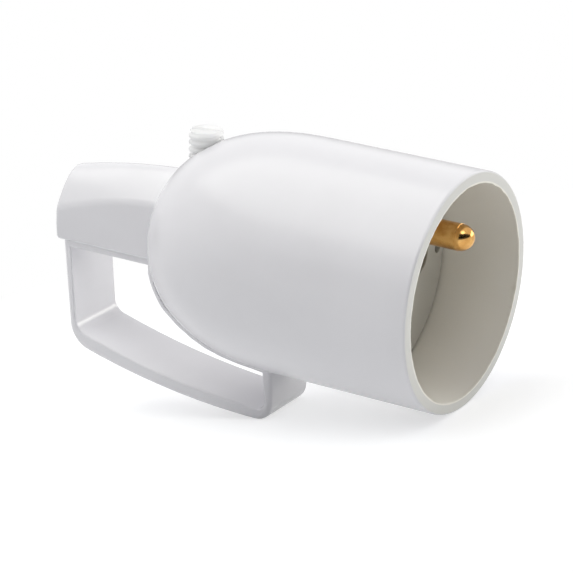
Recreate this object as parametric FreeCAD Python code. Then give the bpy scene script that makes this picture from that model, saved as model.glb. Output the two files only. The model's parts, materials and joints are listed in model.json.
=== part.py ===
import FreeCAD, Part
import math
import os

os.makedirs("parts", exist_ok=True)
V = FreeCAD.Vector

# Inline socket connector with a finger-loop handle. While it is drawn, the socket axis is X,
# the mouth faces +X with its rim at X = 0, and the earth pin is above the axis on +Z.
# The finished pieces are then tipped into the attitude in which the connector lies at rest.

# barrel and dome, mm
body_r = 21.5
wall = 2.0
recess_depth = 15.0
rim_round = 0.5
rim_edge = 0.3
barrel_len = 32.0
dome_len = 29.7
dome_power = 2.35
sink = 1.4

# cable neck
neck_end_x = -82.2
neck_half_w = 7.0
neck_low_z = -4.8
neck_ridge_z = (1.2, 4.7, 6.2)
neck_crown_z = (7.6, 9.9, 11.2)
neck_mid_x = -70.5
neck_front_x = -56.0
neck_round = 0.9
cable_bore_r = 4.6
cable_bore_z = 1.4

# finger loop, drawn as points of the mid-plane (x, z)
loop_half_w = 6.6
loop_rear_out = ((-80.9, -4.0), (-79.4, -24.8))
loop_low_mid = (-59.0, -29.3)
loop_front_out = ((-35.2, -30.8), (-35.6, -19.0))
loop_rear_in_x = (-79.2, -78.1)
loop_top_in_z = -5.8
loop_low_in_z = (-22.1, -26.6, -28.7)
loop_low_in_mid_x = -58.5
loop_front_in_x = (-36.6, -37.0)
loop_root_x = -60.0
loop_rear_round = 3.8
loop_front_round = 3.6
loop_in_round = 1.9
loop_edge_round = 0.95

# the loop's lip follows the dome: shares of the dome's radius and how far the lip stands off there
lip_share = (0.33, 0.44, 0.57, 0.69, 0.79, 0.865, 0.915, 0.955, 0.985)
lip_stand_off = (1.1, 1.28, 1.38, 1.02, 0.75, 0.58, 0.36, 0.2, 0.0)
lip_thick = 0.8
lip_web_half_w = 5.4

# clamp screw and its boss inside the dome
clamp_x = -53.6
clamp_r = 3.15
clamp_gap = 0.05
clamp_top_z = 19.8
clamp_tip_z = 6.3
clamp_chamfer = 0.4
clamp_slot_w = 1.2
clamp_slot_depth = 1.6
boss_rear_x = -60.5
boss_front_x = -46.5
boss_half_w = 7.2
boss_low_z = -6.4

# contact carrier; its fixing screws stand in from the recess wall, the contacts in from them
carrier_gap = 0.05
carrier_plate = 3.5
tower_end_x = -34.0
tower_r = 4.6
pocket_r = 3.7
tower_root = 1.0
fix_edge = 3.7
pole_inset = 6.3
earth_z = 10.0

# fixing screws of the contact carrier
fix_head_r = 1.6
fix_head_len = 1.6
fix_bore_r = 1.7
fix_shank_r = 1.1
fix_head_x = -20.0
fix_slot_w = 0.5
fix_slot_depth = 0.7
fix_pillar_r = 2.6
fix_pillar_gap = 0.2
fix_pillar_end_x = -36.4
fix_pillar_root_x = -55.0
fix_hole_end_x = -45.0
fix_tip_gap = 1.0

# contact sleeves and clips
pole_hole_r = 2.6
sleeve_wall = 0.5
sleeve_floor = 1.5
sleeve_gap = 0.1
slit_w = 0.7
slit_len = 9.0
clip_t = 0.5
clip_len = 3.0
clip_back = 2.0
clip_slot_w = 1.6

# terminal plate and terminals
plate_t = 2.0
plate_clear = 4.9
plate_low_z = -5.2
plate_gap = 0.05
terminal_len = 8.5
terminal_half = 3.2
wire_hole_r = 1.6
wire_hole_len = 7.0
wire_hole_z = -0.6
wire_screw_r = 1.5
wire_screw_back = 3.5
wire_screw_tip_z = 1.2
wire_head_r = 2.5
wire_head_gap = 0.8
wire_head_len = 1.6
wire_slot_w = 0.6
wire_slot_depth = 0.7

# earth pin, washer and nut
earth_pin_r = 2.4
earth_tip_x = 1.0
earth_nose_len = 2.6
earth_nose_power = 0.85
earth_root_r = 2.6
earth_root_len = 0.5
earth_root_gap = 0.05
earth_flange_t = 1.6
earth_shank_r = 3.0
earth_tail_r = 2.0
earth_tail_out = 1.0
earth_tail_chamfer = 0.3
washer_r = 4.2
washer_t = 0.8
nut_flats = 7.0
nut_len = 3.2

recess_r = body_r - wall
face_x = -recess_depth
back_x = face_x - carrier_plate
fix_y = recess_r - fix_edge
pole_y = fix_y - pole_inset
plate_x = tower_end_x - plate_t
plate_r = recess_r - plate_clear
sleeve_r = pole_hole_r + sleeve_wall
sleeve_front_x = back_x - sleeve_gap
sleeve_rear_x = tower_end_x - sleeve_floor
beyond = 1.5 * body_r


def cyl_x(r, x_low, x_high, y=0.0, z=0.0):
    return Part.makeCylinder(r, x_high - x_low, V(x_low, y, z), V(1, 0, 0))


def cyl_z(r, z_low, z_high, x=0.0, y=0.0):
    return Part.makeCylinder(r, z_high - z_low, V(x, y, z_low), V(0, 0, 1))


def bore_x(r, y=0.0, z=0.0):
    return cyl_x(r, neck_end_x, beyond, y, z)


def block(x_low, x_high, y_low, y_high, z_low, z_high):
    return Part.makeBox(x_high - x_low, y_high - y_low, z_high - z_low, V(x_low, y_low, z_low))


def line(a, b):
    return Part.LineSegment(a, b).toShape()


def arc(a, b, c):
    return Part.Arc(a, b, c).toShape()


def xz(point, y=0.0):
    return V(point[0], y, point[1])


def revolved(shrink, x_front):
    # straight barrel, then a squarish ellipse down to the apex; shrink is the wall taken off
    steps = 14
    length = dome_len - shrink
    r = body_r - shrink
    points = []
    for i in range(steps + 1):
        u = math.sin(math.pi / 2 * i / steps)
        points.append(V(-barrel_len - length * u, 0, r * (1 - u ** dome_power) ** (1 / dome_power)))
    tail = Part.BSplineCurve()
    tail.interpolate(Points=points, InitialTangent=V(-1, 0, 0), FinalTangent=V(0, 0, -1))
    front = V(x_front, 0, 0)
    corner = V(x_front, 0, r)
    wire = Part.Wire([line(front, corner), line(corner, points[0]), tail.toShape(), line(points[-1], front)])
    return Part.Face(wire).revolve(V(0, 0, 0), V(1, 0, 0), 360)


def neck_section(x, ridge_z, crown_z):
    a = V(x, -neck_half_w, neck_low_z)
    b = V(x, -neck_half_w, ridge_z)
    c = V(x, neck_half_w, ridge_z)
    d = V(x, neck_half_w, neck_low_z)
    return Part.Wire([line(a, b), arc(b, V(x, 0, crown_z), c), line(c, d), line(d, a)])


# outer form of the tail and barrel
outer = revolved(0.0, 0.0)
rim_outer = [e for e in outer.Edges if e.BoundBox.XLength < 0.01 and e.BoundBox.YLength > 2 * body_r - 0.1
             and e.BoundBox.XMax > -0.01]
outer = outer.makeFillet(rim_edge, rim_outer)

# arched cable neck
sections = []
for station, x in enumerate((neck_end_x, neck_mid_x, neck_front_x)):
    sections.append(neck_section(x, neck_ridge_z[station], neck_crown_z[station]))
neck = Part.makeLoft(sections, True, False)
rear_edges = [e for e in neck.Edges if e.BoundBox.XMax < neck_end_x + 0.01]
neck = neck.makeFillet(neck_round, rear_edges)

# filled outline of the finger loop, from inside the neck and dome down to its lower leg
p_neck = V(loop_root_x, 0, loop_rear_out[0][1])
p_rear_top = xz(loop_rear_out[0])
p_rear_low = xz(loop_rear_out[1])
p_low_mid = xz(loop_low_mid)
p_front_low = xz(loop_front_out[0])
p_front_top = xz(loop_front_out[1])
outline = Part.Wire([
    line(p_neck, p_rear_top),
    line(p_rear_top, p_rear_low),
    arc(p_rear_low, p_low_mid, p_front_low),
    line(p_front_low, p_front_top),
    line(p_front_top, p_neck)])
filled = Part.Face(outline)
filled.translate(V(0, -loop_half_w, 0))
loop = filled.extrude(V(0, 2 * loop_half_w, 0))


def corner_edges(shape, point):
    found = []
    for e in shape.Edges:
        b = e.BoundBox
        if b.YLength > 1 and abs(b.Center.x - point.x) < 0.01 and abs(b.Center.z - point.z) < 0.01:
            found.append(e)
    return found


def on_outside(edge):
    box = edge.BoundBox
    if box.YLength > 0.01 or abs(abs(box.YMin) - loop_half_w) > 0.01:
        return False
    middle = edge.valueAt((edge.FirstParameter + edge.LastParameter) / 2)
    return middle.x < loop_rear_in_x[0] or middle.z < loop_front_out[1][1]


loop = loop.makeFillet(loop_rear_round, corner_edges(loop, p_rear_low))
loop = loop.makeFillet(loop_front_round, corner_edges(loop, p_front_low))
loop = loop.makeFillet(loop_edge_round, [e for e in loop.Edges if on_outside(e)])


# opening of the finger loop: the side towards the dome follows the dome's own curve
def beside_dome(share, stand_off):
    # a point square off the dome's lower outline, where its radius has that share of the barrel's
    u = (1 - share ** dome_power) ** (1 / dome_power)
    out = V(-u ** (dome_power - 1) / dome_len, 0, -share ** (dome_power - 1) / body_r)
    out.normalize()
    return V(-barrel_len - dome_len * u, 0, -body_r * share) + out * stand_off


lip_line = [beside_dome(share, off) for share, off in zip(lip_share, lip_stand_off)]
top_rear = V(loop_rear_in_x[0], 0, loop_top_in_z)
top_front = V(lip_line[0].x, 0, loop_top_in_z)
rear_low = V(loop_rear_in_x[1], 0, loop_low_in_z[0])
low_mid = V(loop_low_in_mid_x, 0, loop_low_in_z[1])
front_low = V(loop_front_in_x[0], 0, loop_low_in_z[2])
front_top = V(loop_front_in_x[1], 0, -body_r)
curve = Part.BSplineCurve()
curve.interpolate(Points=[top_front] + lip_line + [front_top])
opening_wire = Part.Wire([
    line(top_rear, top_front),
    curve.toShape(),
    line(front_top, front_low),
    arc(front_low, low_mid, rear_low),
    line(rear_low, top_rear)])
opening_face = Part.Face(opening_wire)
opening_face.translate(V(0, -beyond, 0))
opening = opening_face.extrude(V(0, 2 * beyond, 0))
opening = opening.makeFillet(loop_in_round, corner_edges(opening, rear_low) + corner_edges(opening, front_low))
loop = loop.cut(opening)

# groove between the loop's thin lip and the dome, on both sides
groove_line = []
for share, off in list(zip(lip_share, lip_stand_off))[:-2]:
    groove_line.append(beside_dome(share, off - lip_thick))
groove_start = V(groove_line[0].x, 0, loop_top_in_z)
groove_curve = Part.BSplineCurve()
groove_curve.interpolate(Points=[groove_start] + groove_line)
groove_end = groove_line[-1]
groove_top = V(groove_end.x, 0, groove_start.z)
groove_face = Part.Face(Part.Wire([groove_curve.toShape(), line(groove_end, groove_top),
                                   line(groove_top, groove_start)]))
for side in (-1, 1):
    tool = groove_face.copy()
    tool.translate(V(0, side * lip_web_half_w, 0))
    loop = loop.cut(tool.extrude(V(0, side * loop_half_w, 0)))

# inside of the housing: recess, wiring space, cable bore
inside = revolved(wall, rim_round)
in_wall = revolved(wall - sink, 0.0)
boss = block(boss_rear_x, boss_front_x, -boss_half_w, boss_half_w, boss_low_z, body_r).common(in_wall)
pillars = cyl_x(fix_pillar_r, fix_pillar_root_x, fix_pillar_end_x, fix_y, 0).fuse(
    cyl_x(fix_pillar_r, fix_pillar_root_x, fix_pillar_end_x, -fix_y, 0)).common(in_wall)
housing = outer.fuse([neck, loop])
housing = housing.cut(inside)
housing = housing.fuse([boss, pillars])
housing = housing.cut(cyl_x(cable_bore_r, neck_end_x - wall, boss_front_x + wall, 0, cable_bore_z))
housing = housing.cut(cyl_z(clamp_r + clamp_gap, 0.0, beyond, clamp_x))
for side in (-1, 1):
    housing = housing.cut(cyl_x(fix_shank_r, fix_hole_end_x, fix_pillar_end_x, side * fix_y, 0))
rim_edges = []
for e in housing.Edges:
    b = e.BoundBox
    if b.XMin > -0.01 and b.XMax < 0.01 and abs(b.YMax - recess_r) < 0.05:
        rim_edges.append(e)
housing = housing.makeChamfer(rim_round, rim_edges)
housing = housing.removeSplitter()

# contact carrier: front plate with towers round the contacts and pillars for its screws
carrier = cyl_x(recess_r - carrier_gap, back_x, face_x)
towers = [cyl_x(tower_r, tower_end_x, face_x - tower_root, 0, earth_z)]
for side in (-1, 1):
    towers.append(cyl_x(tower_r, tower_end_x, face_x - tower_root, side * pole_y, 0))
    towers.append(cyl_x(fix_pillar_r, fix_pillar_end_x, face_x - tower_root, side * fix_y, 0))
carrier = carrier.fuse(towers)
for side in (-1, 1):
    carrier = carrier.cut(bore_x(pole_hole_r, side * pole_y))
    carrier = carrier.cut(cyl_x(pocket_r, tower_end_x, back_x, side * pole_y, 0))
    carrier = carrier.cut(cyl_x(fix_bore_r, fix_head_x - fix_head_len, face_x, side * fix_y, 0))
    carrier = carrier.cut(bore_x(fix_shank_r, side * fix_y))
carrier = carrier.cut(bore_x(earth_root_r + earth_root_gap, 0, earth_z))
carrier = carrier.cut(cyl_x(pocket_r, tower_end_x, back_x, 0, earth_z))
carrier = carrier.removeSplitter()

# terminal plate: closes the towers and carries the terminals
plate = cyl_x(plate_r, plate_x, tower_end_x).common(
    block(plate_x, tower_end_x, -plate_r, plate_r, plate_low_z, plate_r))
for side in (-1, 1):
    plate = plate.cut(bore_x(sleeve_r + plate_gap, side * pole_y))
    plate = plate.cut(bore_x(fix_pillar_r + fix_pillar_gap, side * fix_y))
plate = plate.cut(bore_x(earth_tail_r, 0, earth_z))

# earth pin: rounded nose, shaft, root and flange in its pocket, shank, tail through the plate
shoulder_x = earth_tip_x - earth_nose_len
nose_points = []
for i in range(9):
    t = math.pi / 2 * i / 8
    nose_points.append(V(shoulder_x + earth_nose_len * math.sin(t), 0,
                         earth_pin_r * max(0.0, math.cos(t)) ** earth_nose_power))
nose_points[-1] = V(earth_tip_x, 0, 0)
nose_curve = Part.BSplineCurve()
nose_curve.interpolate(Points=nose_points, InitialTangent=V(1, 0, 0), FinalTangent=V(0, 0, -1))
tail_x = plate_x - washer_t - nut_len - earth_tail_out
flange_r = pocket_r - earth_root_gap
pin_path = [
    (tail_x, 0.0),
    (tail_x, earth_tail_r - earth_tail_chamfer),
    (tail_x + earth_tail_chamfer, earth_tail_r),
    (tower_end_x, earth_tail_r),
    (tower_end_x, earth_shank_r),
    (back_x - earth_flange_t, earth_shank_r),
    (back_x - earth_flange_t, flange_r),
    (back_x, flange_r),
    (back_x, earth_root_r),
    (face_x + earth_root_len, earth_root_r),
    (face_x + earth_root_len, earth_pin_r),
    (shoulder_x, earth_pin_r)]
pin_edges = []
for i in range(len(pin_path) - 1):
    pin_edges.append(line(xz(pin_path[i]), xz(pin_path[i + 1])))
pin_edges.append(nose_curve.toShape())
pin_edges.append(line(nose_points[-1], xz(pin_path[0])))
earth_pin = Part.Face(Part.Wire(pin_edges)).revolve(V(0, 0, 0), V(1, 0, 0), 360)
earth_pin.translate(V(0, 0, earth_z))

washer = cyl_x(washer_r, plate_x - washer_t, plate_x, 0, earth_z).cut(bore_x(earth_tail_r, 0, earth_z))
nut_x = plate_x - washer_t
nut_points = []
for i in range(6):
    angle = math.pi / 3 * i
    nut_points.append(V(nut_x - nut_len, nut_flats / math.sqrt(3) * math.cos(angle),
                        earth_z + nut_flats / math.sqrt(3) * math.sin(angle)))
nut_wire = Part.makePolygon(nut_points + [nut_points[0]])
earth_nut = Part.Face(nut_wire).extrude(V(nut_len, 0, 0)).cut(bore_x(earth_tail_r, 0, earth_z))

pieces = {
    "housing": housing,
    "contact_carrier": carrier,
    "terminal_plate": plate,
    "earth_pin": earth_pin,
    "earth_washer": washer,
    "earth_nut": earth_nut,
}

# live and neutral poles: slotted sleeve, spring clip, terminal block, wire screw, fixing screw
terminal_x = plate_x - terminal_len
wire_screw_x = terminal_x + wire_screw_back
wire_head_z = terminal_half + wire_head_gap
for name, side in (("left", -1), ("right", 1)):
    y = side * pole_y
    sleeve = cyl_x(sleeve_r, sleeve_rear_x, sleeve_front_x, y, 0)
    sleeve = sleeve.cut(cyl_x(pole_hole_r, sleeve_rear_x + sleeve_floor, sleeve_front_x, y, 0))
    sleeve = sleeve.cut(block(sleeve_front_x - slit_len, sleeve_front_x, y - slit_w / 2, y + slit_w / 2,
                              -tower_r, tower_r))
    pieces["contact_sleeve_" + name] = sleeve
    clip_x = sleeve_front_x - clip_back
    clip = cyl_x(sleeve_r + clip_t, clip_x - clip_len, clip_x, y, 0).cut(bore_x(sleeve_r, y))
    clip = clip.cut(block(clip_x - clip_len, clip_x, y - clip_slot_w / 2, y + clip_slot_w / 2, 0, tower_r))
    pieces["contact_clip_" + name] = clip
    terminal = block(terminal_x, plate_x, y - terminal_half, y + terminal_half, -terminal_half, terminal_half)
    terminal = terminal.cut(cyl_x(wire_hole_r, terminal_x, terminal_x + wire_hole_len, y, wire_hole_z))
    terminal = terminal.cut(cyl_z(wire_screw_r, 0.0, wire_head_z, wire_screw_x, y))
    terminal = terminal.fuse(cyl_x(sleeve_r, plate_x - plate_gap, sleeve_rear_x, y, 0))
    pieces["terminal_" + name] = terminal
    screw = cyl_z(wire_screw_r, wire_screw_tip_z, wire_head_z, wire_screw_x, y)
    screw = screw.fuse(cyl_z(wire_head_r, wire_head_z, wire_head_z + wire_head_len, wire_screw_x, y))
    screw = screw.cut(block(wire_screw_x - wire_head_r, wire_screw_x + wire_head_r, y - wire_slot_w / 2,
                            y + wire_slot_w / 2, wire_head_z + wire_head_len - wire_slot_depth,
                            wire_head_z + wire_head_len))
    pieces["terminal_screw_" + name] = screw
    fix = cyl_x(fix_head_r, fix_head_x - fix_head_len, fix_head_x, side * fix_y, 0)
    fix = fix.fuse(cyl_x(fix_shank_r, fix_hole_end_x + fix_tip_gap, fix_head_x - fix_slot_depth, side * fix_y, 0))
    fix = fix.cut(block(fix_head_x - fix_slot_depth, fix_head_x, side * fix_y - fix_head_r,
                        side * fix_y + fix_head_r, -fix_slot_w / 2, fix_slot_w / 2))
    pieces["carrier_screw_" + name] = fix

# clamp screw, slotted, standing out of the dome
clamp = cyl_z(clamp_r, clamp_tip_z, clamp_top_z, clamp_x)
clamp = clamp.makeChamfer(clamp_chamfer, [e for e in clamp.Edges if e.BoundBox.ZLength < 0.01])
clamp = clamp.cut(block(clamp_x - clamp_r, clamp_x + clamp_r, -clamp_slot_w / 2, clamp_slot_w / 2,
                        clamp_top_z - clamp_slot_depth, clamp_top_z))
pieces["clamp_screw"] = clamp

# rest attitude: the rim's lowest point and the loop's lower front corner touch the ground
loop_points = []
for edge in loop.Edges:
    if edge.BoundBox.XMax < face_x and edge.BoundBox.YLength < 0.01:
        loop_points.extend(edge.discretize(60))
tip = 0.0
for i in range(4):
    rim_x = -rim_edge + rim_edge * math.sin(tip)
    rim_z = -body_r + rim_edge - rim_edge * math.cos(tip)
    tip = max([math.atan2(rim_z - p.z, rim_x - p.x) for p in loop_points])
tip_deg = math.degrees(tip)
print("rest pitch %.4f deg" % tip_deg)
for shape in pieces.values():
    shape.rotate(V(0, 0, 0), V(0, 1, 0), tip_deg)
box = pieces["housing"].optimalBoundingBox()
for shape in pieces.values():
    box.add(shape.optimalBoundingBox())
shift = V(-(box.XMin + box.XMax) / 2, 0, -box.ZMin)
print("shift %.4f %.4f" % (shift.x, shift.z))
for node in pieces:
    shape = pieces[node]
    shape.translate(shift)
    print(node, shape.isValid(), len(shape.Solids), round(shape.Volume, 1))
    shape.exportStep("parts/%s.step" % node)
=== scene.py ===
import bmesh
import bpy
import json
import math
from mathutils import Matrix, Vector, noise


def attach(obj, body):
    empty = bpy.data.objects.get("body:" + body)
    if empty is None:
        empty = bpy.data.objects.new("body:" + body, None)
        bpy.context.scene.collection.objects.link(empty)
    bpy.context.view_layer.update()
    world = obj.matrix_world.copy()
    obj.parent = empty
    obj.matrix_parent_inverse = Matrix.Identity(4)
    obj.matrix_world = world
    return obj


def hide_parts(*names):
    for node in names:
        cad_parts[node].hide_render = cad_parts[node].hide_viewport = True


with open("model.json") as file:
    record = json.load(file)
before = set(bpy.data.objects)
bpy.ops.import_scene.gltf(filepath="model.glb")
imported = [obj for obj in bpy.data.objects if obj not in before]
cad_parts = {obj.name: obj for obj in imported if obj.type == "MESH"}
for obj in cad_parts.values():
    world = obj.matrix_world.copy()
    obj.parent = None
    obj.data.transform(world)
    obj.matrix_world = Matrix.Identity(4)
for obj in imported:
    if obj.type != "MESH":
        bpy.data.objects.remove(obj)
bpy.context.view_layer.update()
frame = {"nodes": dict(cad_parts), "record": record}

# where the connector lies
# Pieces are modelled in millimetres with the socket axis along X and the rim at X = 0, as the
# connector is drawn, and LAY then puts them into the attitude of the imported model.
MM = 0.001
RECESS_DEPTH = 15.0
seat = [m for m in frame["record"]["mounts"] if m["name"] == "plug_seat"][0]
TIP = math.atan2(-seat["axis"][2], seat["axis"][0])
TURN = Matrix.Rotation(TIP, 4, "Y")
LAY = (Matrix.Translation(seat["pos_m"]) @ TURN @ Matrix.Scale(MM, 4)
       @ Matrix.Translation((RECESS_DEPTH, 0, 0)))

# the photograph's camera, in the drawing's millimetres
FRAME_PX = 573
FOCAL_PX = 2840.02
SENSOR = 36.0
CAMERA_AZIMUTH = math.radians(31.542)
CAMERA_HEIGHT = math.radians(21.169)
CAMERA_ROLL = math.radians(0.921)
CAMERA_DISTANCE = 507.972
CAMERA_TARGET = Vector((-36.303, 0, -6.562))
CAMERA_BACK = Vector((math.sin(CAMERA_AZIMUTH) * math.cos(CAMERA_HEIGHT),
                      -math.cos(CAMERA_AZIMUTH) * math.cos(CAMERA_HEIGHT),
                      math.sin(CAMERA_HEIGHT)))


def add_camera():
    right = (-CAMERA_BACK).cross(Vector((0, 0, 1))).normalized()
    up = right.cross(-CAMERA_BACK)
    across = math.cos(CAMERA_ROLL) * right + math.sin(CAMERA_ROLL) * up
    upright = -math.sin(CAMERA_ROLL) * right + math.cos(CAMERA_ROLL) * up
    place = LAY @ (CAMERA_TARGET + CAMERA_BACK * CAMERA_DISTANCE)
    facing = TURN.to_3x3() @ Matrix((across, upright, CAMERA_BACK)).transposed()
    data = bpy.data.cameras.new("photo_camera")
    data.sensor_width = SENSOR
    data.lens = SENSOR * FOCAL_PX / FRAME_PX
    data.clip_start, data.clip_end = 0.01, 20.0
    camera = bpy.data.objects.new("photo_camera", data)
    bpy.context.scene.collection.objects.link(camera)
    camera.matrix_world = Matrix.Translation(place) @ facing.to_4x4()
    bpy.context.scene.camera = camera


add_camera()


# materials
def paint(code):
    def channel(text):
        value = int(text, 16) / 255
        return value / 12.92 if value <= 0.04045 else ((value + 0.055) / 1.055) ** 2.4
    return (channel(code[1:3]), channel(code[3:5]), channel(code[5:7]), 1.0)


def add(tree, kind, links=(), **settings):
    """One shader node, its settings and what feeds it: links holds (input, node, output)."""
    made = tree.nodes.new("ShaderNode" + kind)
    for key, value in settings.items():
        if key.startswith("in_"):
            which = key[3:]
            made.inputs[int(which) if which.isdigit() else which.replace("_", " ")].default_value = value
        else:
            setattr(made, key, value)
    for socket, source, output in links:
        tree.links.new(source.outputs[output], made.inputs[socket])
    return made


def new_material(name):
    material = bpy.data.materials.new(name)
    material.use_nodes = True
    material.node_tree.nodes.clear()
    return material, material.node_tree


def speckle(tree, place, size, detail, **settings):
    """Noise with features about this many millimetres wide."""
    return add(tree, "TexNoise", [("Vector", place, "Object")], in_Scale=1 / (size * MM), in_Detail=detail,
               **settings)


def two_tones(tree, mask, low, high):
    """A colour between two tones, each given with the value of the mask that reaches it."""
    shade = add(tree, "ValToRGB", [("Fac", mask, "Fac")])
    for stop, (reached, tone) in zip(shade.color_ramp.elements, (low, high)):
        stop.position, stop.color = reached, paint(tone)
    return shade


def surface(tree, colour, rough, bump, **settings):
    """The shader and the material's output: colour and rough are (node, output)."""
    shader = add(tree, "BsdfPrincipled",
                 [("Base Color", *colour), ("Roughness", *rough), ("Normal", bump, "Normal")], **settings)
    add(tree, "OutputMaterial", [("Surface", shader, "BSDF")])


PLASTIC_IOR = 1.53

# round marks on the housing: where the mould was filled, and where a pin pushed the piece out of it,
# each as its centre, its radius and how far it rises
GATE_MARK = ((-40.4, -19.8, 7.1), 1.3, 0.5)
EJECTOR_MARK = ((-53.6, -12.8, 10.1), 1.1, -0.35)
MARK_EDGE = 0.35


def mark(tree, place, centre, radius):
    """How far a point is inside a small round mark, 1 to 0."""
    away = add(tree, "VectorMath", [(0, place, "Object")], operation="DISTANCE", in_1=LAY @ Vector(centre))
    return add(tree, "MapRange", [("Value", away, "Value")], interpolation_type="SMOOTHSTEP",
               in_1=(radius - MARK_EDGE) * MM, in_2=radius * MM, in_3=1.0, in_4=0.0)


# the mouth's areas, which carry its painted light and shade, fade in between two places along the axis and out
# between two radii, in metres
WALL_FRONT, WALL_RADII = (-0.017, -0.016), (0.0196, 0.0198)
RIM_FRONT, RIM_RADII, FLASH_RADII = (-0.0004, -0.0002), (0.0211, 0.0214), (0.0196, 0.0197)
MOUTH_ROUGHNESS = 0.42


def mouth_masks(tree, place):
    """Three masks at the socket's mouth, for its painted light and shade and its matt finish: its wall, its rim's
    face and the flash on the rim's inner edge.
    """
    drawn = add(tree, "Mapping", [("Vector", place, "Object")], vector_type="TEXTURE",
                in_Location=LAY.translation, in_Rotation=(0, TIP, 0))
    along = add(tree, "SeparateXYZ", [(0, drawn, "Vector")])
    flat = add(tree, "VectorMath", [(0, drawn, "Vector")], operation="MULTIPLY", in_1=(0, 1, 1))
    away = add(tree, "VectorMath", [(0, flat, "Vector")], operation="LENGTH")

    def area(front, radii):
        ahead = add(tree, "MapRange", [("Value", along, "X")], in_1=front[0], in_2=front[1])
        within = add(tree, "MapRange", [("Value", away, "Value")],
                     in_1=radii[0], in_2=radii[1], in_3=1.0, in_4=0.0)
        return add(tree, "Math", [(0, ahead, "Result"), (1, within, "Result")], operation="MULTIPLY")

    return area(WALL_FRONT, WALL_RADII), area(RIM_FRONT, RIM_RADII), area(RIM_FRONT, FLASH_RADII)


def moulded_abs(name, tone, cloudy, roughness, marks=(), mouth_painted_tones=()):
    """ABS moulded in a polished tool: almost even in colour, with slow sink ripples that bend its
    reflections, a skin a little finer than an orange's and round marks left by the tool. The tool's
    core leaves the wall of the mouth matt, and the rim where the halves part is dull. The mouth's
    colours are painted light and shade: the wall is painted paler and warmer, light painted into
    the recess; the rim's face is painted darker, painted shade; and the thin flash on it is painted
    paler, painted light shining through it."""
    material, tree = new_material(name)
    place = add(tree, "TexCoord")
    cloud = speckle(tree, place, 18.0, 3.0, in_Roughness=0.55)
    colour = (two_tones(tree, cloud, (0.32, cloudy), (0.6, tone)), "Color")
    sink = speckle(tree, place, 7.0, 1.0)
    # the real skin's grain is about 0.1 mm, which is finer than a pixel, so it is drawn at 0.5 mm
    skin = speckle(tree, place, 0.5, 2.0)
    relief = add(tree, "Math", [(0, skin, "Fac"), (2, sink, "Fac")], operation="MULTIPLY_ADD", in_1=0.05)
    for centre, radius, rise in marks:
        spot = mark(tree, place, centre, radius)
        relief = add(tree, "Math", [(0, spot, "Result"), (2, relief, "Value")], operation="MULTIPLY_ADD",
                     in_1=rise)
    bump = add(tree, "Bump", [("Height", relief, "Value")], in_Strength=0.35, in_Distance=0.00006)
    gloss = add(tree, "MapRange", [("Value", cloud, "Fac")], in_3=roughness - 0.04, in_4=roughness + 0.05)
    rough = (gloss, "Result")
    if mouth_painted_tones:
        # the mouth's areas get painted light and shade in their colour: a paler, warmer wall, a darker rim face and
        # a paler flash
        for area, painted_tone in zip(mouth_masks(tree, place), mouth_painted_tones):
            colour = (add(tree, "Mix", [(0, area, "Value"), (6, *colour)], data_type="RGBA",
                          in_7=paint(painted_tone)), 2)
            rough = (add(tree, "MapRange", [("Value", area, "Value"), (3, *rough)], in_4=MOUTH_ROUGHNESS),
                     "Result")
    surface(tree, colour, rough, bump, in_IOR=PLASTIC_IOR)
    return material


def turned_brass():
    """Brass turned on a lathe: fine rings round the pin's axis blur its reflections along it, and
    handling has left it a little browner in patches."""
    material, tree = new_material("turned_brass")
    place = add(tree, "TexCoord")
    # the tool's rings are about 0.08 mm apart, too fine for the picture, so they are drawn at 0.25 mm
    along = add(tree, "Mapping", [("Vector", place, "Object")], vector_type="TEXTURE",
                in_Rotation=(0, TIP, 0), in_Scale=(0.00025, 0.02, 0.02))
    rings = add(tree, "TexNoise", [("Vector", along, "Vector")], in_Scale=1.0, in_Detail=2.0)
    patches = speckle(tree, place, 1.8, 3.0)
    shade = two_tones(tree, patches, (0.35, "#C8904C"), (0.62, "#E0B06C"))
    bump = add(tree, "Bump", [("Height", rings, "Fac")], in_Strength=0.35, in_Distance=0.00002)
    gloss = add(tree, "MapRange", [("Value", rings, "Fac")], in_3=0.14, in_4=0.26)
    surface(tree, (shade, "Color"), (gloss, "Result"), bump, in_Metallic=1.0)
    return material


def plated_steel():
    """Steel with bright zinc plate: bluish white, with a fine even frost and dull spots."""
    material, tree = new_material("zinc_plated_steel")
    frost = speckle(tree, add(tree, "TexCoord"), 0.6, 3.0)
    shade = two_tones(tree, frost, (0.3, "#A3A6AB"), (0.7, "#C2C5CA"))
    bump = add(tree, "Bump", [("Height", frost, "Fac")], in_Strength=0.2, in_Distance=0.00002)
    gloss = add(tree, "MapRange", [("Value", frost, "Fac")], in_3=0.36, in_4=0.24)
    surface(tree, (shade, "Color"), (gloss, "Result"), bump, in_Metallic=1.0)
    return material


def natural_nylon():
    """Undyed nylon with a cut thread: light goes into it, so it glows softly and its grooves never
    look dark, and the cut crests are a little rougher than a moulded skin."""
    material, tree = new_material("natural_nylon_thread_cut")
    place = add(tree, "TexCoord")
    cloud = speckle(tree, place, 1.5, 3.0)
    shade = two_tones(tree, cloud, (0.3, "#F8F8F5"), (0.7, "#FCFCFB"))
    cut = speckle(tree, place, 0.4, 2.0)
    bump = add(tree, "Bump", [("Height", cut, "Fac")], in_Strength=0.3, in_Distance=0.00004)
    gloss = add(tree, "MapRange", [("Value", cut, "Fac")], in_3=0.34, in_4=0.5)
    surface(tree, (shade, "Color"), (gloss, "Result"), bump, in_IOR=PLASTIC_IOR,
            in_Subsurface_Weight=1.0, in_Subsurface_Radius=(1.0, 1.0, 1.0), in_Subsurface_Scale=0.004)
    return material


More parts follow.
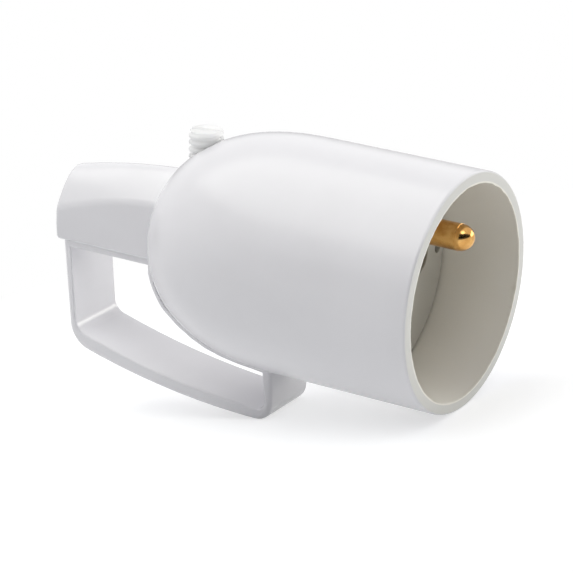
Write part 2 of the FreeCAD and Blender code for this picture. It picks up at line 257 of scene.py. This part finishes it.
FINISH = {
    # the housing's mouth tones are painted light and shade: the wall paler and warmer, the rim's face darker, the
    # flash paler
    "housing_plastic": moulded_abs("white_abs_polished_tool", "#EBEAED", "#E8E7EA", 0.24,
                                   (GATE_MARK, EJECTOR_MARK), ("#EEEBE3", "#DEDDD8", "#F6F3EA")),
    # the carrier's plastic is painted a darker, warmer grey: painted shade at the bottom of the recess
    "carrier_plastic": moulded_abs("abs_matt_tool_painted_shade", "#CBC8BF", "#C3C0B6", 0.42),
    "brass": turned_brass(),
    "steel": plated_steel(),
    "nylon": natural_nylon()}
for part in frame["record"]["subparts"]:
    cad = frame["nodes"][part["node"]]
    cad.data.materials.clear()
    cad.data.materials.append(FINISH[part["material_slot"]])


# shaping, in millimetres
WELD = 0.0005


def turned(profile, steps, axis="X", at=(0, 0, 0)):
    """A solid of revolution from (along, radius) points that begin and end on its axis."""
    bm = bmesh.new()
    corners = [bm.verts.new((along, 0, r) if axis == "X" else (r, 0, along)) for along, r in profile]
    for first, second in zip(corners, corners[1:]):
        bm.edges.new((first, second))
    bmesh.ops.spin(bm, geom=bm.verts[:] + bm.edges[:], cent=(0, 0, 0),
                   axis=(1, 0, 0) if axis == "X" else (0, 0, 1),
                   angle=2 * math.pi, steps=steps, use_merge=True)
    bmesh.ops.remove_doubles(bm, verts=bm.verts, dist=WELD)
    bmesh.ops.recalc_face_normals(bm, faces=bm.faces)
    bmesh.ops.translate(bm, vec=at, verts=bm.verts)
    return bm


def rod(radius, start, end, steps=64):
    """A cylinder between two points."""
    start, end = Vector(start), Vector(end)
    bm = bmesh.new()
    facing = (end - start).to_track_quat("Z", "Y").to_matrix().to_4x4()
    bmesh.ops.create_cone(bm, cap_ends=True, segments=steps, radius1=radius, radius2=radius,
                          depth=(end - start).length, matrix=Matrix.Translation((start + end) / 2) @ facing)
    return bm


def block(low, high):
    low, high = Vector(low), Vector(high)
    bm = bmesh.new()
    bmesh.ops.create_cube(bm, size=1.0, matrix=Matrix.Translation((low + high) / 2)
                          @ Matrix.Diagonal(high - low).to_4x4())
    return bm


def slab(outline, half_width):
    """A flat outline of (x, z) points, given its width across the connector."""
    bm = bmesh.new()
    face = bm.faces.new([bm.verts.new((x, -half_width, z)) for x, z in outline])
    wide = bmesh.ops.extrude_face_region(bm, geom=[face])
    bmesh.ops.translate(bm, vec=(0, 2 * half_width, 0),
                        verts=[v for v in wide["geom"] if isinstance(v, bmesh.types.BMVert)])
    bmesh.ops.recalc_face_normals(bm, faces=bm.faces)
    return bm


def combined(operation, base, *tools):
    """The exact union, difference or intersection of closed shells, which are used up."""
    for tool in tools:
        shells = []
        for bm in (base, tool):
            mesh = bpy.data.meshes.new("shell")
            bm.to_mesh(mesh)
            bm.free()
            shells.append(bpy.data.objects.new("shell", mesh))
            bpy.context.scene.collection.objects.link(shells[-1])
        step = shells[0].modifiers.new("step", "BOOLEAN")
        step.operation, step.solver, step.object = operation, "EXACT", shells[1]
        base = bmesh.new()
        base.from_object(shells[0], bpy.context.evaluated_depsgraph_get())
        for shell in shells:
            bpy.data.meshes.remove(shell.data)
        bmesh.ops.remove_doubles(base, verts=base.verts, dist=WELD)
    return base


def rounded(bm, edges, radius, steps):
    bmesh.ops.bevel(bm, geom=edges, affect="EDGES", offset_type="OFFSET", offset=radius, segments=steps,
                    profile=0.5, material=-1, clamp_overlap=True)


def piece(name, bm, body, slot, replaced, crease=32.0):
    bmesh.ops.transform(bm, matrix=LAY, verts=bm.verts)
    mesh = bpy.data.meshes.new(name)
    bm.to_mesh(mesh)
    bm.free()
    mesh.shade_smooth()
    mesh.set_sharp_from_angle(angle=math.radians(crease))
    made = bpy.data.objects.new(name, mesh)
    bpy.context.scene.collection.objects.link(made)
    mesh.materials.append(FINISH[slot])
    # flat faces keep their own light right up to the small roundings beside them
    even = made.modifiers.new("flat_faces_lead", "WEIGHTED_NORMAL")
    even.mode, even.weight, even.keep_sharp = "FACE_AREA", 100, True
    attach(made, body)
    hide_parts(replaced)


# housing: the moulded barrel, dome, neck and finger loop
BODY_R, WALL = 21.5, 2.0
INNER_R = BODY_R - WALL
BARREL, DOME, DOME_POWER, DOME_STEPS = 32.0, 29.7, 2.35, 24
ROUND_STEPS = 256
# where rings of corners run round the barrel, outside and inside
OUTER_RINGS, INNER_RINGS = (-24.0, -16.0, -8.0, -0.6), (-24.0, -16.0, -10.0, -5.0)
# the rim's outer edge: places along the axis, and how far each lies inside the barrel's radius
RIM_EDGE = ((-0.3, 0.05), (-0.08, 0.2), (0.0, 0.42))
# the thin flash left on the rim's inner edge: where it rises, how far it stands in, how ragged it is
FLASH_FOOT, FLASH_TOP, FLASH_IN, FLASH_RAGGED = -0.4, -0.3, 0.12, 0.006
# its waves: how close they are, and how high
FLASH_WAVES = ((0.55, 1.0), (1.6, 0.7))
PAST_RIM = 1.5


def tail_profile(shrink):
    """The dome from its apex to where the straight barrel begins."""
    shares = [math.sin(math.pi / 2 * i / DOME_STEPS) for i in range(DOME_STEPS, -1, -1)]
    return [(-BARREL - (DOME - shrink) * u, (BODY_R - shrink) * (1 - u ** DOME_POWER) ** (1 / DOME_POWER))
            for u in shares]


def inner_profile(shrink):
    return tail_profile(shrink) + [(x, BODY_R - shrink) for x in INNER_RINGS]


outside = turned(tail_profile(0.0) + [(x, BODY_R) for x in OUTER_RINGS]
                 + [(x, BODY_R - inside) for x, inside in RIM_EDGE] + [(0.0, 0.0)], ROUND_STEPS)
hollow = turned(inner_profile(WALL) + [(-1.2, INNER_R), (FLASH_FOOT, INNER_R)]
                + [(x, INNER_R - FLASH_IN) for x in (FLASH_TOP, 0.0, PAST_RIM)] + [(PAST_RIM, 0.0)], ROUND_STEPS)
for v in hollow.verts:
    if v.co.x > FLASH_TOP - 0.01 and v.co.yz.length > 1.0:
        ragged = sum(high * noise.noise(Vector((0, *v.co.yz)) * close) for close, high in FLASH_WAVES)
        v.co.yz = v.co.yz * (1 - FLASH_RAGGED * ragged)

# the neck, at its end, in its middle and inside the dome: the height of its two ridges and of its crown
NECK_X = (-82.2, -70.5, -56.0)
NECK_RIDGE, NECK_CROWN = (1.2, 4.7, 6.2), (7.8, 10.1, 11.4)
# the roof's slope over its half width: 2 is a parabola, 1 a flat gable
NECK_ROOF = (1.9, 1.75, 1.7)
NECK_HALF, NECK_LOW, NECK_BOW = 7.0, -4.8, 0.18
NECK_STEPS, ARCH_STEPS, SIDE_STEPS = 12, 12, 6
NECK_EDGE, NECK_END_EDGE = 0.7, 0.8
SHARP = 0.35


def through(x, xs, values):
    """The smooth curve through three given values."""
    total = 0.0
    for i in range(3):
        share = values[i]
        for j in range(3):
            if j != i:
                share *= (x - xs[j]) / (xs[i] - xs[j])
        total += share
    return total


def neck_section(x):
    ridge, crown, roof = [through(x, NECK_X, values) for values in (NECK_RIDGE, NECK_CROWN, NECK_ROOF)]
    arch = [(NECK_HALF * i / ARCH_STEPS, crown - (crown - ridge) * abs(i / ARCH_STEPS) ** roof)
            for i in range(-ARCH_STEPS, ARCH_STEPS + 1)]
    side = [(NECK_HALF + NECK_BOW * math.sin(math.pi * i / SIDE_STEPS), ridge + (NECK_LOW - ridge) * i / SIDE_STEPS)
            for i in range(1, SIDE_STEPS)]
    return [(-NECK_HALF, NECK_LOW)] + [(-y, z) for y, z in reversed(side)] + arch + side + [(NECK_HALF, NECK_LOW)]


def neck_shape():
    bm = bmesh.new()
    rings = []
    for i in range(NECK_STEPS + 1):
        x = NECK_X[0] + (NECK_X[2] - NECK_X[0]) * i / NECK_STEPS
        corners = [bm.verts.new((x, y, z)) for y, z in neck_section(x)]
        rings.append([bm.edges.new((corners[k], corners[k - 1])) for k in range(len(corners))])
    for first, second in zip(rings, rings[1:]):
        bmesh.ops.bridge_loops(bm, edges=first + second)
    bmesh.ops.holes_fill(bm, edges=rings[0] + rings[-1])
    bmesh.ops.recalc_face_normals(bm, faces=bm.faces)
    ridge_and_low = [e for e in bm.edges if e.calc_face_angle(0) > SHARP
                     and abs(e.verts[0].co.x - e.verts[1].co.x) > 0.1]
    rounded(bm, ridge_and_low, NECK_EDGE, 4)
    rear = [e for e in bm.edges if all(abs(v.co.x - NECK_X[0]) < 0.001 for v in e.verts)]
    rounded(bm, rear, NECK_END_EDGE, 4)
    return bm


def bow(start, middle, end, shares):
    """Points on the circle through three points, at the given shares of the way between the ends."""
    (ax, az), (bx, bz), (cx, cz) = start, middle, end
    double = 2 * (ax * (bz - cz) + bx * (cz - az) + cx * (az - bz))
    a2, b2, c2 = ax * ax + az * az, bx * bx + bz * bz, cx * cx + cz * cz
    centre = Vector(((a2 * (bz - cz) + b2 * (cz - az) + c2 * (az - bz)) / double,
                     (a2 * (cx - bx) + b2 * (ax - cx) + c2 * (bx - ax)) / double))
    first, last = Vector(start) - centre, Vector(end) - centre
    turn = first.angle_signed(last)
    return [tuple(centre + Matrix.Rotation(-turn * share, 2) @ first) for share in shares]


# the finger loop's side view: its rear leg, low bar and front leg, outside and inside
REAR_OUT, REAR_IN = ((-80.9, -4.0), (-79.4, -24.8)), ((-79.2, -5.8), (-78.1, -22.1))
LOW_OUT_MID, LOW_IN_MID = (-59.0, -29.3), (-58.5, -26.6)
FRONT_OUT, FRONT_IN = ((-35.2, -30.8), (-35.6, -19.0)), ((-36.6, -28.7), (-37.0, -21.15))
LOOP_SHARES = (0, 0.14, 0.24, 0.34, 0.44, 0.54, 0.64, 0.74, 0.86, 1)
LOOP_START = (-60.0, -4.0)
LOOP_HALF, LOOP_ROUND, EYE_ROUND, EYE_CUT_HALF = 6.6, 3.6, 1.9, 12.0
# the outer edges are rounded together with the eye's, so the two have to fit the leg's 1.4 mm
LOOP_EDGE, EYE_EDGE = 0.95, 0.4
# outer edges are rounded behind this place or below this height, clear of the neck and the dome
OUTER_EDGE_X, OUTER_EDGE_Z = -79.2, -19.0
# the eye's edges are rounded below a slanting line that leaves out the dome's lip, and low on the front leg
EYE_LINE, EYE_SLOPE = (-79.0, -5.0), -0.55
FRONT_EYE, EYE_LOW_Z = (-39.5, -22.5), -29.0
# the loop's lip follows the dome: shares of the dome's radius, and how far the lip stands off there
LIP_SHARE = (0.33, 0.44, 0.57, 0.69, 0.79, 0.865, 0.915, 0.955, 0.985)
LIP_OFF = (1.1, 1.28, 1.38, 1.02, 0.75, 0.56, 0.28, 0.02, -0.25)
LIP_STEPS = 40
# the lip's thickness, half the web's behind it, and where the groove between lip and dome ends
LIP, WEB_HALF, GROOVE_END = 0.58, 4.4, 0.905


def stand_off(share):
    for i in range(len(LIP_SHARE) - 1):
        if share <= LIP_SHARE[i + 1]:
            way = (share - LIP_SHARE[i]) / (LIP_SHARE[i + 1] - LIP_SHARE[i])
            way = way * way * (3 - 2 * way)
            return LIP_OFF[i] + (LIP_OFF[i + 1] - LIP_OFF[i]) * way
    return LIP_OFF[-1]


def beside_dome(share, off):
    """A point square off the dome's lower outline, where its radius has that share of the barrel's."""
    u = (1 - share ** DOME_POWER) ** (1 / DOME_POWER)
    out = Vector((-u ** (DOME_POWER - 1) / DOME, -share ** (DOME_POWER - 1) / BODY_R)).normalized()
    return tuple(Vector((-BARREL - DOME * u, -BODY_R * share)) + out * off)


def cross_edges(bm, point):
    """The edges that run across the connector at an (x, z) point."""
    return [e for e in bm.edges
            if all(abs(v.co.x - point[0]) < 0.001 and abs(v.co.z - point[1]) < 0.001 for v in e.verts)]


def side_edges(bm):
    """The sharp edges that bound the loop's two flat sides, each with its middle."""
    return [(e, (e.verts[0].co + e.verts[1].co) / 2) for e in bm.edges if e.calc_face_angle(0) > 1.0
            and all(abs(abs(v.co.y) - LOOP_HALF) < 0.001 for v in e.verts)]


def on_rounded_eye(m):
    """Whether an edge with its middle there belongs to the rounded part of the eye."""
    in_eye = m.z < REAR_IN[0][1] - 0.01 and m.x < FRONT_IN[0][0] + 0.3 and m.z > EYE_LOW_Z
    past_lip = m.z < EYE_SLOPE * (m.x - EYE_LINE[0]) + EYE_LINE[1]
    return in_eye and (past_lip or (m.x > FRONT_EYE[0] and m.z < FRONT_EYE[1]))


def loop_shape():
    low_side = bow(REAR_OUT[1], LOW_OUT_MID, FRONT_OUT[0], LOOP_SHARES)
    band = slab([LOOP_START, REAR_OUT[0]] + low_side + [FRONT_OUT[1]], LOOP_HALF)
    rounded(band, cross_edges(band, REAR_OUT[1]), LOOP_ROUND, 8)
    rounded(band, cross_edges(band, FRONT_OUT[0]), LOOP_ROUND, 8)
    rounded(band, [e for e, m in side_edges(band) if m.x < OUTER_EDGE_X or m.z < OUTER_EDGE_Z], LOOP_EDGE, 5)
    shares = [LIP_SHARE[0] + (LIP_SHARE[-1] - LIP_SHARE[0]) * i / LIP_STEPS for i in range(LIP_STEPS + 1)]
    lip = [beside_dome(share, stand_off(share)) for share in shares]
    eye = [REAR_IN[0], (lip[0][0], REAR_IN[0][1])] + lip + [FRONT_IN[1]]
    opening = slab(eye + bow(FRONT_IN[0], LOW_IN_MID, REAR_IN[1], LOOP_SHARES), EYE_CUT_HALF)
    rounded(opening, cross_edges(opening, FRONT_IN[0]), EYE_ROUND, 6)
    rounded(opening, cross_edges(opening, REAR_IN[1]), EYE_ROUND, 6)
    band = combined("DIFFERENCE", band, opening)
    rounded(band, [e for e, m in side_edges(band) if on_rounded_eye(m)], EYE_EDGE, 3)
    groove = [beside_dome(share, stand_off(share) - LIP) for share in shares if share < GROOVE_END]
    groove += [(groove[-1][0], REAR_IN[0][1]), (groove[0][0], REAR_IN[0][1])]
    for side in (-1, 1):
        crescent = slab(groove, LOOP_HALF / 2)
        bmesh.ops.translate(crescent, vec=(0, side * (WEB_HALF + LOOP_HALF / 2), 0), verts=crescent.verts)
        band = combined("DIFFERENCE", band, crescent)
    return band


# inside: the boss that the clamp screw runs in, and the pillars that the contact carrier is screwed to
POLE_Y, FIX_Y, EARTH_Z = 9.5, 15.8, 10.0
CABLE_R, CABLE_Z, CABLE_START, CABLE_END, CABLE_LEAD, CABLE_FLARE = 4.6, 1.4, -84.0, -44.5, 0.35, 1.8
CLAMP_X, CLAMP_R, CLAMP_GAP, CLAMP_HOLE_TOP = -53.6, 3.15, 0.05, 30.0
BOSS_LOW, BOSS_HIGH = (-60.5, -7.2, -6.4), (-46.5, 7.2, BODY_R)
PILLAR_R, PILLAR_TOP, PILLAR_FOOT = 2.6, -36.4, -55.0
FIX_BORE_R, PILLAR_BORE = 1.1, (-45.0, -36.0)
# how far the boss and the pillars reach into the wall
SINK = 1.4


def inside_wall():
    return turned(inner_profile(WALL - SINK) + [(INNER_RINGS[-1], 0.0)], 96)


def on_side(side, x, y, z=0):
    """A point on one side of the connector: side is -1 or 1."""
    return (x, side * y, z)


boss = combined("INTERSECT", block(BOSS_LOW, BOSS_HIGH), inside_wall())
housing = combined("UNION", outside, neck_shape(), loop_shape())
housing = combined("DIFFERENCE", housing, hollow)
housing = combined("UNION", housing, boss)
for side in (-1, 1):
    pillar = rod(PILLAR_R, on_side(side, PILLAR_FOOT, FIX_Y), on_side(side, PILLAR_TOP, FIX_Y))
    housing = combined("UNION", housing, combined("INTERSECT", pillar, inside_wall()))
    housing = combined("DIFFERENCE", housing,
                       rod(FIX_BORE_R, *[on_side(side, x, FIX_Y) for x in PILLAR_BORE], 24))
cable_bore = turned([(CABLE_START, 0.0), (CABLE_START, CABLE_R + CABLE_FLARE), (NECK_X[0], CABLE_R + CABLE_LEAD),
                     (NECK_X[0] + CABLE_LEAD, CABLE_R), (CABLE_END, CABLE_R), (CABLE_END, 0.0)],
                    96, at=(0, 0, CABLE_Z))
clamp_hole = rod(CLAMP_R + CLAMP_GAP, (CLAMP_X, 0, 0), (CLAMP_X, 0, CLAMP_HOLE_TOP), 96)
housing = combined("DIFFERENCE", housing, cable_bore, clamp_hole)
piece("moulded_housing", housing, "connector", "housing_plastic", "housing")


# contact carrier: the plate at the bottom of the recess, with towers round the contacts
FACE_X, BACK_X, TOWER_END = -15.0, -18.5, -34.0
TOWER_ROOT = BACK_X + 1
TOWER_R, TOWER_BORE_R, TOWER_BORE = 4.6, 3.7, (TOWER_END - 1, -17.0)
# the carrier's posts stand on the housing's pillars, with a bore for the fixing screw
POST_BORE = (-40.0, -20.0)
# the plate's edge from back to front: how far behind its face, and how far inside the housing's wall
PLATE_FIT = 0.05
PLATE_EDGE = ((1.1, PLATE_FIT), (1.1, 0.4), (0.35, 0.42), (0.1, 0.52), (0.0, 0.78))
# a contact's opening, and the wider space behind its thin front
OPENING_R, OPENING_Y, OPENING_Z, OPENING_BACK = 3.65, POLE_Y + 0.2, 0.8, -17.5
OPENING_WIDE_R, OPENING_FRONT = 4.2, 0.3
EARTH_HOLE_R = 2.65
# the small holes over the fixing screws, and the room for the screws' heads
FIX_HOLE_R, FIX_HOLE_Y, FIX_HOLE_Z, FIX_HOLE_BACK = 0.95, FIX_Y + 1.0, 0.15, -17.0
HEAD_R, HEAD_BACK, HEAD_FRONT = 1.7, -21.6, 0.5


def hole(radius, back, lead, y, z):
    """A cutter for a round hole that opens at the carrier's face with a small lead-in."""
    return turned([(back, 0.0), (back, radius), (FACE_X - lead, radius), (FACE_X + 1.0, radius + lead + 1.0),
                   (FACE_X + 1.0, 0.0)], 64, at=(0, y, z))


carrier = turned([(BACK_X, 0.0), (BACK_X, INNER_R - PLATE_FIT)]
                 + [(FACE_X - behind, INNER_R - inside) for behind, inside in PLATE_EDGE] + [(FACE_X, 0.0)], 192)
carrier = combined("UNION", carrier, rod(TOWER_R, (TOWER_END, 0, EARTH_Z), (TOWER_ROOT, 0, EARTH_Z)))
for side in (-1, 1):
    carrier = combined("UNION", carrier,
                       rod(TOWER_R, on_side(side, TOWER_END, POLE_Y), on_side(side, TOWER_ROOT, POLE_Y)),
                       rod(PILLAR_R, on_side(side, PILLAR_TOP, FIX_Y), on_side(side, TOWER_ROOT, FIX_Y)))
for side in (-1, 1):
    carrier = combined("DIFFERENCE", carrier,
                       hole(OPENING_R, OPENING_BACK, 0.1, side * OPENING_Y, OPENING_Z),
                       rod(OPENING_WIDE_R, on_side(side, OPENING_BACK, OPENING_Y, OPENING_Z),
                           on_side(side, FACE_X - OPENING_FRONT, OPENING_Y, OPENING_Z)),
                       rod(TOWER_BORE_R, *[on_side(side, x, POLE_Y) for x in TOWER_BORE]),
                       hole(FIX_HOLE_R, FIX_HOLE_BACK, 0.05, side * FIX_HOLE_Y, FIX_HOLE_Z),
                       rod(HEAD_R, on_side(side, HEAD_BACK, FIX_Y), on_side(side, FACE_X - HEAD_FRONT, FIX_Y), 48),
                       rod(FIX_BORE_R, *[on_side(side, x, FIX_Y) for x in POST_BORE], 32))
carrier = combined("DIFFERENCE", carrier, hole(EARTH_HOLE_R, TOWER_END, 0.15, 0, EARTH_Z),
                   rod(TOWER_BORE_R, (TOWER_END - 1, 0, EARTH_Z), (BACK_X, 0, EARTH_Z)))
piece("contact_carrier_moulding", carrier, "connector", "carrier_plastic", "contact_carrier")

# earth pin: turned bar, its nose rounded by a form tool that left a faint shoulder
PIN_R, NOSE_X = 2.4, -1.6
NOSE_LONG, NOSE_R, NOSE_STEPS, NOSE_SHOULDER = 2.55, 2.36, 14, 0.02
# (along, radius) from the threaded tail to the collar in the plate and the shank in front of it
PIN_TAIL = [(-41.0, 0.0), (-41.0, 1.7), (-40.7, 2.0), (-34.0, 2.0)]
PIN_COLLAR = [(-34.0, 3.0), (-20.1, 3.0), (-20.1, 3.65), (-18.5, 3.65), (-18.5, 2.6), (-14.6, 2.6), (-14.5, 2.5)]
PIN_SHANK = [(x, PIN_R) for x in (-14.5, -11.0, -7.0, -3.5, NOSE_X)]


def pin_nose():
    angles = [math.pi / 2 * i / NOSE_STEPS for i in range(NOSE_STEPS + 1)]
    return [(NOSE_X + NOSE_SHOULDER + NOSE_LONG * math.sin(a), NOSE_R * math.cos(a)) for a in angles]


pin = turned(PIN_TAIL + PIN_COLLAR + PIN_SHANK + pin_nose(), 96, at=(0, 0, EARTH_Z))
piece("turned_earth_pin", pin, "connector", "brass", "earth_pin", 14.0)

# clamp screw: a nylon grub with a coarse thread, standing out of the dome
THREAD_PITCH, THREAD_DEPTH, THREAD_STEPS = 1.28, 0.42, 48
SCREW_TOP, SCREW_TIP, TIP_CHAMFER = 19.8, 6.3, 0.6
SLOT_TURN, SLOT_HALF, SLOT_DEPTH = math.radians(17), 0.5, 1.5
# one tooth's outline: the share of the pitch, and the share of the depth
TOOTH = ((0.0, 1.0), (0.14, 1.0), (0.22, 0.85), (0.42, 0.12), (0.5, 0.0),
         (0.66, 0.0), (0.74, 0.12), (0.92, 0.85), (1.0, 1.0))
# the cutter tore the crests a little: how deep they count as crests, the tear's share of the radius,
# and how close the tears are
TORN_DEPTH, TEAR, TEAR_CLOSE = 0.2, 0.012, 0.9


def thread():
    """One tooth's outline swept up a helix and cut off square above and below."""
    turns = math.ceil((SCREW_TOP - SCREW_TIP) / THREAD_PITCH) + 3
    bm = bmesh.new()
    low = SCREW_TIP - 1.5 * THREAD_PITCH
    corners = [bm.verts.new((CLAMP_R - THREAD_DEPTH * depth, 0, low + THREAD_PITCH * rise))
               for rise, depth in TOOTH]
    for first, second in zip(corners, corners[1:]):
        bm.edges.new((first, second))
    bmesh.ops.spin(bm, geom=bm.verts[:] + bm.edges[:], cent=(0, 0, 0), axis=(0, 0, 1),
                   angle=2 * math.pi * turns, steps=THREAD_STEPS * turns,
                   dvec=(0, 0, THREAD_PITCH / THREAD_STEPS))
    bmesh.ops.remove_doubles(bm, verts=bm.verts, dist=0.002)
    for height, keep_low in ((SCREW_TOP + 0.4, True), (SCREW_TIP - 0.4, False)):
        bmesh.ops.bisect_plane(bm, geom=bm.verts[:] + bm.edges[:] + bm.faces[:], dist=0.0001,
                               plane_co=(0, 0, height), plane_no=(0, 0, 1),
                               clear_outer=keep_low, clear_inner=not keep_low)
    bmesh.ops.holes_fill(bm, edges=[e for e in bm.edges if e.is_boundary])
    bmesh.ops.recalc_face_normals(bm, faces=bm.faces)
    for v in bm.verts:
        if math.hypot(v.co.x, v.co.y) > CLAMP_R - TORN_DEPTH:
            tear = 1 - TEAR * max(0.0, noise.noise(v.co * TEAR_CLOSE))
            v.co.x, v.co.y = v.co.x * tear, v.co.y * tear
    return bm


blank = turned([(SCREW_TIP, 0.0), (SCREW_TIP, CLAMP_R - TIP_CHAMFER), (SCREW_TIP + TIP_CHAMFER, CLAMP_R),
                (SCREW_TOP - 0.45, CLAMP_R), (SCREW_TOP - 0.12, CLAMP_R - 0.12), (SCREW_TOP, CLAMP_R - 0.45),
                (SCREW_TOP, 0.0)], 96, "Z")
slot = block((-5.0, -SLOT_HALF, SCREW_TOP - SLOT_DEPTH), (5.0, SLOT_HALF, SCREW_TOP + 2.0))
bmesh.ops.rotate(slot, cent=(0, 0, 0), matrix=Matrix.Rotation(SLOT_TURN, 3, "Z"), verts=slot.verts)
screw = combined("INTERSECT", thread(), blank)
screw = combined("DIFFERENCE", screw, slot)
bmesh.ops.translate(screw, vec=(CLAMP_X, 0, 0), verts=screw.verts)
piece("nylon_clamp_screw", screw, "screw", "nylon", "clamp_screw", 40.0)


# studio, in metres: a pale floor that keeps the shadow, a pale surround, three softboxes, a black card
# by the lens and a grey card behind
WHITE = (1, 1, 1, 1)
FLOOR_R, FLOOR_LIFT = 4.0, 0.6
# how far from the object the floor's shadow starts to fade, and where it has gone
FADE_START, FADE_END = 0.07, 0.15
SURROUND = 0.6
# the black card, behind and beside the camera: its size, and its place in the drawing's millimetres
LENS_CARD_SIZE, LENS_CARD_BACK, LENS_CARD_SHIFT = (2.8, 0.85), 40, Vector((470, 290, -20))
# the grey card, beyond the object and above the picture
REAR_CARD_SIZE, REAR_CARD_AWAY, REAR_CARD_HEIGHT = (1.6, 0.17), 0.62, 0.09


def add_sheet(name, bm):
    mesh = bpy.data.meshes.new(name)
    bm.to_mesh(mesh)
    bm.free()
    sheet = bpy.data.objects.new(name, mesh)
    bpy.context.scene.collection.objects.link(sheet)
    return sheet


def seen_directly(tree):
    """1 for what the camera, a reflection or glass shows, 0 for light that the surface bounces."""
    path = add(tree, "LightPath")
    either = add(tree, "Math", [(0, path, "Is Camera Ray"), (1, path, "Is Glossy Ray")], operation="MAXIMUM")
    return add(tree, "Math", [(0, either, "Value"), (1, path, "Is Transmission Ray")], operation="MAXIMUM")


def add_floor():
    bm = bmesh.new()
    bmesh.ops.create_circle(bm, cap_ends=True, segments=64, radius=FLOOR_R)
    floor = add_sheet("studio_floor", bm)
    material, tree = new_material("white_paper_floor")
    place = add(tree, "TexCoord")
    paper = add(tree, "BsdfDiffuse", in_Color=paint("#EDEEEF"))
    shadow = add(tree, "BsdfDiffuse", in_Color=paint("#C0C1C2"))
    lift = add(tree, "Emission", in_Color=WHITE, in_Strength=FLOOR_LIFT)
    near = add(tree, "AddShader", [(0, shadow, "BSDF"), (1, lift, "Emission")])
    far = add(tree, "Emission", in_Color=WHITE, in_Strength=1.0)
    away = add(tree, "VectorMath", [(0, place, "Object")], operation="LENGTH")
    fade = add(tree, "MapRange", [("Value", away, "Value")], in_1=FADE_START, in_2=FADE_END)
    shown = add(tree, "MixShader", [(0, fade, "Result"), (1, near, "Shader"), (2, far, "Emission")])
    both = add(tree, "MixShader", [(0, seen_directly(tree), "Value"), (1, paper, "BSDF"), (2, shown, "Shader")])
    add(tree, "OutputMaterial", [("Surface", both, "Shader")])
    floor.data.materials.append(material)


def add_card(name, finish, tone, size, place, facing):
    """A matt card that the camera doesn't see and that casts no shadow."""
    bm = bmesh.new()
    bmesh.ops.create_grid(bm, x_segments=1, y_segments=1, size=0.5, matrix=Matrix.Diagonal((*size, 1, 1)))
    bmesh.ops.transform(bm, verts=bm.verts, matrix=Matrix.Translation(place)
                        @ facing.to_track_quat("Z", "Y").to_matrix().to_4x4())
    card = add_sheet(name, bm)
    material, tree = new_material(finish)
    matt = add(tree, "BsdfDiffuse", in_Color=paint(tone))
    add(tree, "OutputMaterial", [("Surface", matt, "BSDF")])
    card.data.materials.append(material)
    card.visible_camera = card.visible_shadow = False
    return card


def add_softbox(name, place, aim, size, watts, tone):
    data = bpy.data.lights.new(name, "AREA")
    data.shape = "RECTANGLE"
    data.size, data.size_y = size
    data.energy = watts
    data.color = paint(tone)[:3]
    lamp = bpy.data.objects.new(name, data)
    bpy.context.scene.collection.objects.link(lamp)
    lamp.location = place
    lamp.rotation_mode = "QUATERNION"
    lamp.rotation_quaternion = (Vector(aim) - Vector(place)).to_track_quat("-Z", "Y")


add_floor()

# the black card keeps the surround's light off the side that the camera sees, and shows as the dark
# spot on the pin's nose
to_camera = TURN.to_3x3() @ CAMERA_BACK
lens_place = LAY @ (CAMERA_TARGET + CAMERA_BACK * (CAMERA_DISTANCE + LENS_CARD_BACK) + LENS_CARD_SHIFT)
add_card("lens_card", "black_card", "#101010", LENS_CARD_SIZE, lens_place, to_camera)

# the body's upper edges mirror the grey card, so they draw as a thin grey line on the white
level = to_camera * Vector((1, 1, 0))
rear_place = Vector((0, 0, REAR_CARD_HEIGHT)) - level.normalized() * REAR_CARD_AWAY
rear_card = add_card("rear_card", "grey_card", "#858587", REAR_CARD_SIZE, rear_place, level)
rear_card.visible_diffuse = False

world = bpy.data.worlds.new("studio_surround")
bpy.context.scene.world = world
world.use_nodes = True
world.node_tree.nodes.clear()
soft = add(world.node_tree, "Background", in_Color=paint("#F5F5FB"), in_Strength=SURROUND)
bright = add(world.node_tree, "Background", in_Color=WHITE, in_Strength=1.0)
both = add(world.node_tree, "MixShader",
           [(0, seen_directly(world.node_tree), "Value"), (1, soft, "Background"), (2, bright, "Background")])
add(world.node_tree, "OutputWorld", [("Surface", both, "Shader")])

add_softbox("top_softbox", (-0.15, -0.1, 0.75), (0, 0, 0.03), (0.9, 0.7), 3.7, "#FFFFF8")
add_softbox("mouth_softbox", (0.5, -0.26, 0.68), (0, 0, 0.03), (0.42, 0.34), 0.87, "#FBFDFF")
add_softbox("far_softbox", (0.45, 0.55, 0.1), (0, 0, 0.02), (0.6, 0.18), 1.75, "#FFFEF5")

bpy.context.scene.view_settings.view_transform = "Standard"
